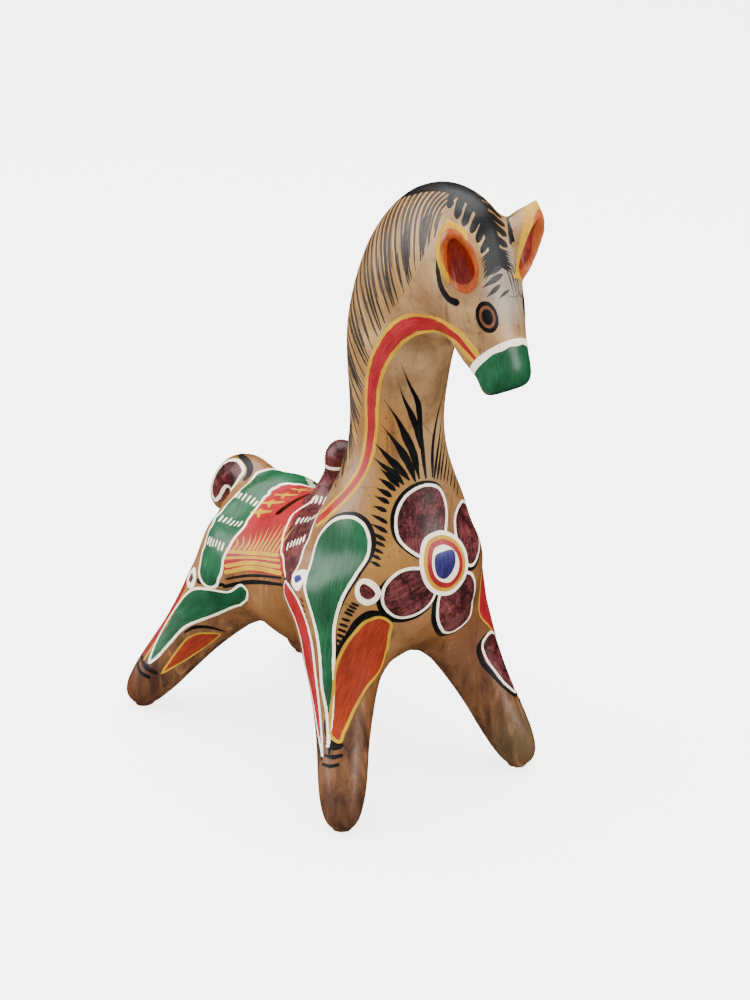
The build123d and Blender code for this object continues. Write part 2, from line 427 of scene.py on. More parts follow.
# Each enamel: its dark, middle and light tone as seen on a screen, and what sets it apart
TONES = {
    "green": ((6, 60, 32), (13, 76, 43), (26, 98, 62), {"coat": 0.45}),
    "red": ((120, 11, 17), (150, 15, 23), (172, 36, 42), {}),
    "maroon": ((52, 12, 17), (84, 26, 30), (128, 66, 64), {"mottle": 0.8}),
    "orange": ((112, 28, 1), (138, 37, 1), (162, 50, 3), {"coat": 0.12}),
    "coral": ((136, 48, 8), (166, 70, 16), (190, 98, 36), {}),
    "ember": ((84, 10, 5), (122, 22, 5), (168, 54, 8), {}),
    "yellow": ((160, 108, 1), (184, 138, 1), (206, 162, 2), {"coat": 0.05}),
    "white": ((240, 218, 184), (252, 240, 214), (255, 248, 232), {}),
    "black": ((10, 8, 8), (15, 13, 13), (30, 28, 28), {"coat": 0.05}),
    "grey": ((34, 30, 27), (52, 46, 41), (78, 70, 62), {"coat": 0.05}),
    "ochre": ((156, 104, 46), (178, 130, 64), (202, 158, 96), {"coat": 0.2}),
    "blue": ((26, 22, 72), (36, 32, 92), (66, 64, 130), {}),
    "brown": ((84, 46, 24), (108, 62, 34), (136, 84, 50), {}),
}
PAINTS = {colour: paint_material(f"{colour}_enamel", linear(*dark), linear(*middle), linear(*light), **look)
          for colour, (dark, middle, light, look) in TONES.items()}


# ---------------------------------------------------------------- the clay skin
def slot_plug():
    """A slab over the coin slot, so that the skin closes over it before the slot is cut."""
    tree = trees["barrel"]
    tops = []
    for x in (-SLOT_HALF_WIDTH - 2.5, -SLOT_HALF_WIDTH - 0.3, SLOT_HALF_WIDTH + 0.3, SLOT_HALF_WIDTH + 2.5):
        row = []
        for y in np.linspace(-SLOT_HALF_LENGTH - 1.5, SLOT_HALF_LENGTH + 1.5, 46):
            place = x if abs(x) > SLOT_HALF_WIDTH + 0.2 else math.copysign(SLOT_HALF_WIDTH + 0.3, x)
            hit = tree.ray_cast(Vector((SLOT_X + place, y, 200)), Vector((0, 0, -1)))
            row.append([SLOT_X + x, y, hit[0].z])
        tops.append(row)
    tops = np.array(tops)
    rows, columns = tops.shape[:2]
    top = tops.reshape(-1, 3) + [0, 0, SWELL]
    bottom = tops.reshape(-1, 3) - [0, 0, 4.5]
    cell = [(r * columns + c) for r in range(rows - 1) for c in range(columns - 1)]
    upper = [t for i in cell for t in ((i, i + columns, i + columns + 1), (i, i + columns + 1, i + 1))]
    upper = np.array(upper)
    if (np.cross(top[upper[0, 1]] - top[upper[0, 0]], top[upper[0, 2]] - top[upper[0, 0]]))[2] < 0:
        upper = upper[:, ::-1]
    rims = rim_edges(upper)
    count = len(top)
    walls = [t for a, b in rims for t in ((b, a, a + count), (b, a + count, b + count))]
    return np.concatenate([top, bottom]), np.concatenate([upper, upper[:, ::-1] + count, np.array(walls)])


def remesh(points, triangles, size):
    mesh = bpy.data.meshes.new("swollen")
    mesh.from_pydata((points / 1000).tolist(), [], triangles.tolist())
    source = bpy.data.objects.new("swollen", mesh)
    bpy.context.scene.collection.objects.link(source)
    modifier = source.modifiers.new("voxels", "REMESH")
    modifier.mode = "VOXEL"
    modifier.voxel_size = size / 1000
    modifier.adaptivity = 0.0
    done = source.evaluated_get(bpy.context.evaluated_depsgraph_get()).to_mesh()
    result = mesh_arrays(done)
    bpy.data.objects.remove(source)
    bpy.data.meshes.remove(mesh)
    return result[0] * 1000, result[1]


def hand_waves(points):
    """Slow unevenness left by the potter's hands, 0 to about 1."""
    total = np.zeros(len(points))
    for _ in range(14):
        direction = unit(np.array([random.gauss(0, 1) for _ in range(3)]))
        length = random.uniform(14, 46)
        total += np.sin(points @ direction * (2 * math.pi / length) + random.uniform(0, 6.3))
    return 0.5 + 0.5 * np.tanh(total / 3.5)


GROUPS = {
    "barrel": ["barrel_left", "barrel_right"],
    "neck_head": ["neck_head_left", "neck_head_right"],
    **{n: [n] for n in ("leg_front_left", "leg_front_right", "leg_rear_left", "leg_rear_right",
                        "ear_left", "ear_right", "saddle_cantle", "saddle_horn", "tail")},
}
SLOT_X = RUMP_X + 57.0

trees, boxes, swollen, offset = {}, {}, [], 0
for group, nodes in GROUPS.items():
    parts, at = [], 0
    for node in nodes:
        p, t = mesh_arrays(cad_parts[node].data)
        p, t = weld(to_potter(p), t)
        parts.append((p, t + at))
        at += len(p)
        swollen.append((p + vertex_normals(p, t) * SWELL, t + offset))
        offset += len(p)
    p = np.concatenate([a for a, _ in parts])
    t = np.concatenate([b for _, b in parts])
    trees[group] = BVHTree.FromPolygons(p.tolist(), t.tolist())
    boxes[group] = (p.min(0), p.max(0))
plug_points, plug_triangles = slot_plug()
swollen.append((plug_points, plug_triangles + offset))
skin, faces = remesh(np.concatenate([a for a, _ in swollen]), np.concatenate([b for _, b in swollen]), VOXEL)
skin, faces = largest_part(skin, faces)

names = list(GROUPS)


def distances(points):
    """How far each point is from each group of CAD pieces; far ones are given as 30 mm."""
    far = np.full((len(points), len(names)), 30.0)
    for column, name in enumerate(names):
        low, high = boxes[name]
        close = np.where(((points > low - 7) & (points < high + 7)).all(1))[0]
        find = trees[name].find_nearest
        far[close, column] = [find(Vector(points[i]))[3] for i in close]
    return far


def ear_axes(side, turn, lean):
    """The ear's facing, upright and sideways directions, from its turn and lean in degrees."""
    turn, lean = math.radians(turn) * side, math.radians(lean)
    facing = np.array([math.cos(turn), math.sin(turn), 0])
    sideways = np.array([-math.sin(turn), math.cos(turn), 0]) * side
    up = np.array([0, 0, 1]) * math.cos(lean) + sideways * math.sin(lean)
    return facing, up, sideways * math.cos(lean) - np.array([0, 0, 1]) * math.sin(lean)


EARS = (("ear_right", -1, (112.3, -16.4, 269.0), 35.0, 17.0),
        ("ear_left", 1, (111.2, 18.4, 269.0), 20.0, 24.0))

nearness = distances(skin)
for ear, side, centre, turn, lean in EARS:
    wide = ear_axes(side, turn, lean)[2]
    close = np.clip(1 - nearness[:, names.index(ear)] / EAR_REACH, 0, 1)
    pinch = EAR_PINCH * close * ((skin - centre) @ wide)
    skin = skin - pinch[:, None] * wide
ordered = np.sort(nearness, 1)
closest = np.argsort(nearness, 1)[:, :2]
legs = [names.index(name) for name in names if name.startswith("leg")]
at_leg = np.isin(closest, legs).any(1)
joint = np.clip(1 - (ordered[:, 1] - ordered[:, 0]) / np.where(at_leg, LEG_JOINT, OTHER_JOINT), 0, 1)
ears = nearness[:, [names.index("ear_left"), names.index("ear_right")]].min(1)
thick = np.clip(ears / 5.0, 0, 1)
skin = smooth(skin, faces, 3, 0.5, 0.35 + 0.65 * thick)
fillet = smooth((np.where(at_leg, joint, 0) ** 1.5)[:, None], faces, 4)
skin = skin + vertex_normals(skin, faces) * fillet * FILLET
skin = smooth(skin, faces, 50, 0.5, joint * thick)
waves = hand_waves(skin)
depth = (SINK + WAVE * waves) * (0.55 + 0.45 * thick)
skin = skin - vertex_normals(skin, faces) * depth[:, None]
skin[:, 2] = np.where(skin[:, 2] < 1.0, 0.0, skin[:, 2])
normals = unit(smooth(vertex_normals(skin, faces), faces, 2))

skin_tree = BVHTree.FromPolygons(skin.tolist(), faces.tolist())
whole_skin, whole_faces, whole_normals = skin, faces, normals


# ---------------------------------------------------------------- the clay pieces
def slot_field(points):
    """Distance from the edge of the coin slot, seen from above: below 0 inside it."""
    x = abs(points[:, 0] - SLOT_X)
    y = np.maximum(abs(points[:, 1]) - (SLOT_HALF_LENGTH - SLOT_HALF_WIDTH), 0)
    field = np.hypot(x, y) - SLOT_HALF_WIDTH
    return np.where(points[:, 2] > 100, field, 30.0)


def shell_thickness(points, outward):
    """The shell's thickness at each point, less where the clay is thin."""
    found = np.full(len(points), SHELL)
    for i, (p, n) in enumerate(zip(points, outward)):
        hit = skin_tree.ray_cast(Vector(p - n * 0.2), Vector(-n), 5.0)
        if hit[0] is not None:
            found[i] = min(SHELL, 0.4 * hit[3])
    return found


def build_clay():
    points, triangles = skin, faces
    data = np.concatenate([nearness, normals], 1)
    for column in range(len(names)):
        others = np.delete(data[:, :len(names)], column, axis=1).min(1)
        points, triangles, data, _ = cut(points, triangles, data, others - data[:, column])
    points, triangles, data, _ = cut(points, triangles, data, points[:, 1])
    points, triangles, data, _ = cut(points, triangles, data, slot_field(points))
    middle = points[triangles].mean(1)
    triangles = triangles[slot_field(middle) > 0]
    middle = points[triangles].mean(1)
    outward = unit(data[:, len(names):])
    owner = data[:, :len(names)][triangles].mean(1).argmin(1)
    thickness = shell_thickness(points, outward)
    thickness = smooth(thickness[:, None], triangles, 3)
    inner = points - outward * thickness
    at_slot = abs(slot_field(points)) < 0.05
    inner[at_slot] = points[at_slot] - [0, 0, SLOT_DEPTH]
    for column, name in enumerate(names):
        for side, nodes in ((1, name + "_left"), (-1, name + "_right")):
            chosen = owner == column
            if name in ("barrel", "neck_head"):
                chosen = chosen & (middle[:, 1] * side > 0)
            elif side < 0:
                continue
            else:
                nodes = name
            p, t, n, i = compact(points, triangles[chosen], outward, inner)
            clay = add_object("clay_" + nodes, *close_shell(p, t, n, i), CLAY)
            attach(clay, "root")
            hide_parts(nodes)


build_clay()


# ---------------------------------------------------------------- laying paint on the skin
def rest_on_skin(found):
    """Points and smooth normals of the skin, from (point, face number) pairs."""
    points = np.array([p for p, _ in found], float)
    corners = whole_faces[[f for _, f in found]]
    a, b, c = (whole_skin[corners[:, i]] for i in range(3))
    whole = np.linalg.norm(np.cross(b - a, c - a), axis=1) + 1e-12
    u = np.linalg.norm(np.cross(c - b, points - b), axis=1) / whole
    v = np.linalg.norm(np.cross(a - c, points - c), axis=1) / whole
    w = np.clip(1 - u - v, 0, 1)
    n = whole_normals[corners[:, 0]] * u[:, None]
    n = n + whole_normals[corners[:, 1]] * v[:, None] + whole_normals[corners[:, 2]] * w[:, None]
    return points, unit(n)


def settle(points):
    """The skin's nearest points, with its normals there."""
    found = [skin_tree.find_nearest(Vector(p)) for p in points]
    return rest_on_skin([(hit[0], hit[2]) for hit in found])


def curve_through(points, closed, step):
    """A smooth curve through the points, with a point about every step."""
    points = np.asarray(points, float)
    count = len(points)
    if closed:
        around = np.concatenate([points[-1:], points, points[:2]])
    else:
        around = np.concatenate([2 * points[:1] - points[1:2], points, 2 * points[-1:] - points[-2:-1]])
    gap = np.linalg.norm(np.diff(around, axis=0), axis=1) + 1e-9
    slope = np.diff(around, axis=0) / gap[:, None]
    tangent = (slope[:-1] * gap[1:, None] + slope[1:] * gap[:-1, None]) / (gap[:-1] + gap[1:])[:, None]
    if closed:
        tangent = np.concatenate([tangent, tangent[:1]])[:count + 1]
    made = []
    for i in range(count if closed else count - 1):
        p, q, size = around[i + 1], around[i + 2], gap[i + 1]
        m, n = tangent[i] * size, tangent[(i + 1) % count if closed else i + 1] * size
        pieces = max(2, int(math.ceil(size / step)))
        s = (np.arange(pieces) / pieces)[:, None]
        made.append((2 * s**3 - 3 * s**2 + 1) * p + (s**3 - 2 * s**2 + s) * m
                    + (3 * s**2 - 2 * s**3) * q + (s**3 - s**2) * n)
    if not closed:
        made.append(points[-1:])
    return np.concatenate(made)


def inside(polygon, points):
    """Which of the flat points lie inside the flat polygon."""
    a, b = polygon, np.roll(polygon, -1, axis=0)
    found = np.zeros(len(points), bool)
    for (ax, ay), (bx, by) in zip(a, b):
        if ay != by:
            over = (ay > points[:, 1]) != (by > points[:, 1])
            found ^= over & (points[:, 0] < (bx - ax) * (points[:, 1] - ay) / (by - ay) + ax)
    return found


def edge_distance(polygon, points):
    a, b = polygon, np.roll(polygon, -1, axis=0)
    best = np.full(len(points), 1e9)
    for p, q in zip(a, b):
        d = q - p
        s = np.clip(((points - p) @ d) / max(d @ d, 1e-12), 0, 1)
        best = np.minimum(best, np.linalg.norm(points - p - s[:, None] * d, axis=1))
    return best


class Paint:
    """All the strokes of one colour in one place, which become one thin piece."""

    made = []

    def __init__(self, name, colour):
        self.name, self.colour = name, colour
        self.points, self.faces, self.corners, self.brush, self.count = [], [], [], [], 0
        Paint.made.append(self)

    def add(self, points, triangles, outward, lift, brush):
        lift = np.broadcast_to(lift, len(points))[:, None]
        p, f, c = close_shell(points + outward * lift, triangles, outward, points - outward * PAINT_ROOT)
        self.faces += [[i + self.count for i in face] for face in f]
        self.points.append(p)
        self.corners.append(c)
        self.brush.append(np.concatenate([brush, brush]) + [0, random.uniform(0, 60), random.uniform(0, 60)])
        self.count += len(p)

    def build(self):
        if not self.points:
            return
        made = add_object(self.name, np.concatenate(self.points), self.faces,
                          np.concatenate(self.corners), PAINTS[self.colour], np.concatenate(self.brush))
        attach(made, "root")


def flat_frame(points):
    """Middle, two flat directions and the outward direction of the best plane through the points."""
    middle = points.mean(0)
    _, _, axes = np.linalg.svd(points - middle)
    out = axes[2]
    if settle([middle])[1][0] @ out < 0:
        out = -out
    return middle, axes[0], np.cross(out, axes[0]), out


def fill(paint, points, lift=0.14, shrink=0.0):
    """A patch of paint inside the outline."""
    points = np.asarray(points, float)
    middle, across, along, out = flat_frame(settle(points)[0])
    flat = np.stack([(points - middle) @ across, (points - middle) @ along], 1)
    edge = curve_through(flat, True, 0.9)
    if shrink:
        edge = inset(edge, shrink)
    low, high = edge.min(0), edge.max(0)
    xs, ys = np.arange(low[0], high[0], 1.25), np.arange(low[1], high[1], 1.1)
    grid = np.array([(x + (0.62 if j % 2 else 0), y) for j, y in enumerate(ys) for x in xs]).reshape(-1, 2)
    if len(grid):
        grid = grid[inside(edge, grid)]
    if len(grid):
        grid = grid[edge_distance(edge, grid) > 0.5]
    every = np.concatenate([edge, grid]) if len(grid) else edge
    rim = [(i, (i + 1) % len(edge)) for i in range(len(edge))]
    result = delaunay_2d_cdt([Vector(p) for p in every], rim, [], 0, 1e-5)
    flat = np.array([tuple(p) for p in result[0]])
    triangles = np.array([f for f in result[2] if len(f) == 3])
    triangles = triangles[inside(edge, flat[triangles].mean(1))]
    a, b, c = (flat[triangles[:, i]] for i in range(3))
    turned = (b - a)[:, 0] * (c - a)[:, 1] - (b - a)[:, 1] * (c - a)[:, 0] < 0
    triangles[turned] = triangles[turned][:, ::-1]
    flat, triangles = compact(flat, triangles)
    found = []
    for u, v in flat:
        start = middle + across * u + along * v - out * 9
        hit = skin_tree.ray_cast(Vector(start), Vector(out), 30)
        if hit[0] is None or hit[1] @ Vector(out) < 0:
            hit = skin_tree.find_nearest(Vector(start + out * 9))
        found.append((hit[0], hit[2]))
    on, outward = rest_on_skin(found)
    brush = np.stack([flat[:, 0], flat[:, 1], np.zeros(len(flat))], 1)
    paint.add(on, triangles, outward, lift, brush)


def inset(edge, distance):
    """The closed flat outline, moved inward."""
    ahead, behind = np.roll(edge, -1, axis=0), np.roll(edge, 1, axis=0)
    side = unit(ahead - behind)[:, ::-1] * [-1, 1]
    area = (edge[:, 0] * ahead[:, 1] - edge[:, 1] * ahead[:, 0]).sum()
    return edge + side * distance * (1 if area > 0 else -1)


def stroke(paint, points, width, lift=0.2, start="round", end="round", closed=False, waver=0.06):
    """A brush stroke along the points. width is one number or one for each point."""
    line = curve_through(points, closed, 0.8)
    widths = np.broadcast_to(np.asarray(width, float), len(points))
    if closed:
        widths = np.concatenate([widths, widths[:1]])
    along = np.linspace(0, len(widths) - 1, len(line))
    half = np.interp(along, range(len(widths)), widths) / 2
    on, outward = settle(line)
    if closed:
        ahead = np.roll(on, -1, axis=0) - np.roll(on, 1, axis=0)
    else:
        ahead = np.gradient(on, axis=0)
    ahead = unit(ahead)
    run = np.concatenate([[0], np.cumsum(np.linalg.norm(np.diff(on, axis=0), axis=1))])
    total = run[-1]
    sway = np.sin(run * 0.9 + random.uniform(0, 6))
    ripple = np.sin(run * 0.31 + random.uniform(0, 6))
    half = half * (1 + waver * sway * ripple)
    if not closed:
        for kind, gone in ((start, run), (end, total - run)):
            if kind == "round":
                reach = np.clip(gone / np.maximum(half, 0.2), 0, 1)
                half = half * np.sqrt(np.clip(1 - (1 - reach) ** 2, 0.02, 1))
            elif kind == "point":
                half = half * np.clip(gone / (0.55 * total), 0.05, 1) ** 0.7
            elif kind == "brush":
                half = half * np.clip(0.35 + gone / (0.25 * total), 0.3, 1)
    side = unit(np.cross(outward, ahead))
    columns = max(3, int(math.ceil(2 * half.max() / 1.1)) + 1)
    columns += 1 - columns % 2
    shares = np.linspace(-1, 1, columns)
    spread = on[:, None] + side[:, None] * (shares[None, :, None] * half[:, None, None])
    placed, facing = settle(spread.reshape(-1, 3))
    rows = len(line)
    last = rows if closed else rows - 1
    quads = [((r, c), ((r + 1) % rows, c), ((r + 1) % rows, c + 1), (r, c + 1))
             for r in range(last) for c in range(columns - 1)]
    index = np.array([[r * columns + c for r, c in quad] for quad in quads])
    triangles = np.concatenate([index[:, [0, 1, 2]], index[:, [0, 2, 3]]])
    a, b, c = (placed[triangles[:, i]] for i in range(3))
    if (np.cross(b - a, c - a) * facing[triangles[:, 0]]).sum() < 0:
        triangles = triangles[:, ::-1]
    crown = lift * (1 - 0.45 * abs(np.tile(shares, rows)) ** 3)
    brush = np.stack([np.repeat(run, columns), np.tile(shares, rows) * np.repeat(half, columns),
                      np.zeros(rows * columns)], 1)
    paint.add(placed, triangles, facing, crown, brush)
    return spread[:, 0], spread[:, -1]


def coat(paint, *fields, lift=0.14):
    """A coat over all of the skin where every field of places, distances and normals is above 0."""
    points, triangles, data = whole_skin, whole_faces, np.concatenate([whole_normals, nearness], 1)
    for field in fields:
        value = field(points, data[:, 3:], unit(data[:, :3]))
        near = (value[triangles].max(1) > 0)
        points, triangles, data = compact(points, triangles[near], data)
        value = field(points, data[:, 3:], unit(data[:, :3]))
        points, triangles, data, value = cut(points, triangles, data, value)
        triangles = triangles[value[triangles].sum(1) > 0]
    points, triangles, data = compact(points, triangles, data)
    outward = unit(data[:, :3])
    brush = np.stack([points[:, 2], points[:, 0] + points[:, 1], points[:, 1]], 1)
    paint.add(points, triangles, outward, lift, brush)


def both_sides(points):
    """The outline on the right, then its mirror image on the left, where the rear foot stands closer in."""
    points = np.asarray(points, float)
    left = points * [1, -1, 1]
    rear = (points[:, 0] < -20) & (points[:, 2] < REAR_HIP_Z)
    left[:, 1] -= np.where(rear, REAR_FOOT_STEP * (REAR_HIP_Z - points[:, 2]) / REAR_HIP_Z, 0)
    return points, left


REAR_HIP_Z = 79.0
left_foot, right_foot = (to_potter([[*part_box(n)[i]] for i in (0, 1)]) for n in ("leg_rear_left",
                                                                                "leg_rear_right"))
REAR_FOOT_STEP = -right_foot[0, 1] - left_foot[1, 1]


def bordered(patch, border, outline, width, lift=0.14, shadow=None, shift=(0, 0, 0)):
    """A patch with a painted border inside its outline, and perhaps a dark edge beneath it."""
    outline = np.asarray(outline, float)
    if shadow:
        middle = outline.mean(0)
        fill(shadow, middle + (outline - middle) * 1.05 + shift, lift - 0.06)
    fill(patch, outline, lift, shrink=0.3)
    middle, across, along, _ = flat_frame(settle(outline)[0])
    flat = np.stack([(outline - middle) @ across, (outline - middle) @ along], 1)
    flat = inset(curve_through(flat, True, 2.0), width / 2)
    heights = curve_through(outline, True, 2.0)
    heights = heights[np.linspace(0, len(heights) - 1, len(flat)).astype(int)]
    back = middle + flat[:, :1] * across + flat[:, 1:] * along
    out = np.cross(across, along)
    back = back + ((heights - back) @ out)[:, None] * out
    stroke(border, back, width, lift + 0.08, closed=True)


# ---------------------------------------------------------------- the painted decoration
def paint_chest():
    shadow, petals = Paint("chest_flower_shadow", "black"), Paint("chest_flower_petals", "maroon")
    edges = Paint("chest_flower_outlines", "white")
    top = [(74, -3, 153), (72, -11, 150), (72, -17, 142), (75, -18, 131), (82, -13, 124), (83, -4, 120),
           (80, 4, 129), (76, 8, 141), (75, 5, 150)]
    right = [(78, 9, 129), (76, 12, 135), (70, 21, 138), (66, 28, 132), (69, 29, 121), (79, 24, 115),
             (84, 16, 112), (85, 9, 117)]
    low_right = [(86, -3, 104), (85, -4, 95), (80, 2, 84), (70, 15, 76), (69, 24, 80), (79, 22, 95),
                 (84, 13, 111), (86, 4, 110)]
    low_left = [(84, -9, 118), (80, -20, 119), (77, -27, 112), (76, -27, 103), (79, -21, 96), (84, -13, 97),
                (86, -5, 104), (86, -4, 112)]
    for outline, shift in ((top, (0, -0.8, 0.8)), (right, (0, 0.3, -1.0)), (low_right, (0, -1.6, -0.6)),
                           (low_left, (0, -1.6, -1.6))):
        bordered(petals, edges, outline, 1.5, 0.16, shadow, shift)
    rings = (("white", 13.0, 15.2), ("yellow", 11.2, 13.2), ("red", 9.4, 11.4), ("white", 7.2, 9.0))
    for number, (colour, half_width, half_height) in enumerate(rings):
        ring = Paint(f"chest_flower_ring_{number + 1}", colour)
        turns = [2 * math.pi * k / 9 for k in range(9)]
        fill(ring, [(86, 0.5 + half_width * math.cos(a) - 1.2 * math.sin(a),
                     118 + half_height * math.sin(a) + 0.3 * math.cos(3 * a)) for a in turns],
             0.26 + 0.04 * number)
    heart = Paint("chest_flower_heart", "blue")
    fill(heart, [(86, -4.4, 123.2), (86, 0.4, 124), (86, 5.2, 123.2), (86, 5.8, 118), (86, 3.4, 113),
                 (86, 0.2, 111.2), (86, -3.8, 113.4), (86, -5.5, 118)], 0.42)

    strokes = Paint("neck_brush_strokes", "black")
    long_strokes = [
        ([(72, -14.5, 211), (73, -10.3, 200), (73.5, -6.2, 191), (73, -4.4, 181), (73, -2.8, 169),
          (74, -1.7, 155)],
         [0.5, 2.2, 3.2, 1.9, 1.9, 2.4]),
        ([(70, -14, 201), (70.6, -11.5, 193), (71.6, -8.5, 186), (72, -5.9, 179), (72.4, -3.8, 169)],
         [0.4, 1.8, 2.8, 2.4, 1.4]),
        ([(63.5, -17, 192), (68, -13, 183), (70, -10.7, 176.5), (71.5, -7.4, 168.5), (73.4, -5, 155.5)],
         [0.4, 2.4, 3.8, 3.2, 1.8]),
        ([(61.6, -17.2, 180), (67, -14, 173), (69.6, -11.2, 167.5), (72, -8.4, 160.5), (73, -6.9, 154.5)],
         [0.4, 2.4, 3.6, 3.2, 1.8]),
        ([(58, -19.3, 172), (64, -17, 167), (68, -13.5, 162), (72, -9.3, 155.5)], [0.4, 2.7, 3.5, 2.0]),
        ([(58.7, -19.8, 165), (64, -17.8, 161.7), (68, -14.9, 158.6), (71.4, -11.9, 153.8)],
         [0.4, 2.4, 3.1, 1.8]),
        ([(72.7, 9.6, 196), (72.7, 5.8, 183.5), (72.5, 3.4, 171.4), (73.9, 1.9, 154.8)],
         [0.4, 1.5, 1.6, 1.9]),
        ([(71.8, 11, 184), (71.4, 8, 171), (72.5, 5.1, 161.7), (74, 2.6, 154)], [0.4, 1.3, 1.6, 1.8]),
        ([(70, 12.5, 173), (72.4, 7.6, 161), (73.9, 4.4, 153.2)], [0.4, 1.4, 1.6]),
    ]
    for path, widths in long_strokes:
        stroke(strokes, path, widths, 0.13, "point", "brush")
    fans = [((-20.8, 161), (-13.9, 153), 2.8), ((-21.6, 157), (-15.4, 151.4), 2.6),
            ((-22.4, 152.6), (-17.1, 148.8), 2.4),
            ((-22.9, 148.9), (-18.3, 146), 2.2), ((-23.8, 144.7), (-19.6, 142.4), 2.1),
            ((-25, 141), (-20, 137.5), 1.9),
            ((-25.5, 137), (-20.5, 133.5), 1.9), ((-26, 133.4), (-21.5, 130), 1.8),
            ((-26.5, 130), (-22, 127.4), 1.7),
            ((-27, 126.8), (-23, 124.2), 1.6), ((-27.5, 123.6), (-24, 121.6), 1.6),
            ((-27.5, 120.6), (-24.5, 119), 1.5),
            ((16, 169), (6.6, 152.4), 1.4), ((17.5, 163), (8.6, 151), 1.3),
            ((19, 158.5), (10.6, 149.6), 1.1),
            ((20.5, 154), (12.8, 147.4), 1.1), ((22, 150), (15, 144.6), 1.0),
            ((23.5, 146), (17, 141.5), 0.9)]
    for (tip_y, tip_z), (foot_y, foot_z), width in fans:
        reach = [0.0, 0.35, 0.7, 1.0]
        bend = 0.12 * (foot_y - tip_y)
        path = [(chest_x(foot_z + (tip_z - foot_z) * r, foot_y + (tip_y - foot_y) * r),
                 foot_y + (tip_y - foot_y) * r + bend * math.sin(math.pi * r),
                 foot_z + (tip_z - foot_z) * r) for r in reach]
        stroke(strokes, path, [width * 0.75, width, width * 0.85, width * 0.35], 0.13, "brush", "point")

    bud, drop = Paint("chest_bud", "white"), Paint("chest_bud_drop", "maroon")
    fill(bud, [(69, -33, 114), (74, -30, 113.5), (76.5, -28, 109), (75, -30, 104), (71, -33, 102),
               (68, -34.5, 104), (67, -35, 109)], 0.2)
    fill(drop, [(70, -33, 112), (72.5, -32, 111.5), (75, -30, 108), (72, -32, 105), (70, -33.5, 106),
                (69, -34, 110)], 0.26)


def chest_x(z, y):
    """Roughly where the front of the neck and chest is, before the stroke settles on the skin."""
    front = np.interp(z, [95, 118, 131, 150, 165, 190, 205], [86, 86, 81, 75.5, 73, 74, 78])
    return front - 0.022 * y * y


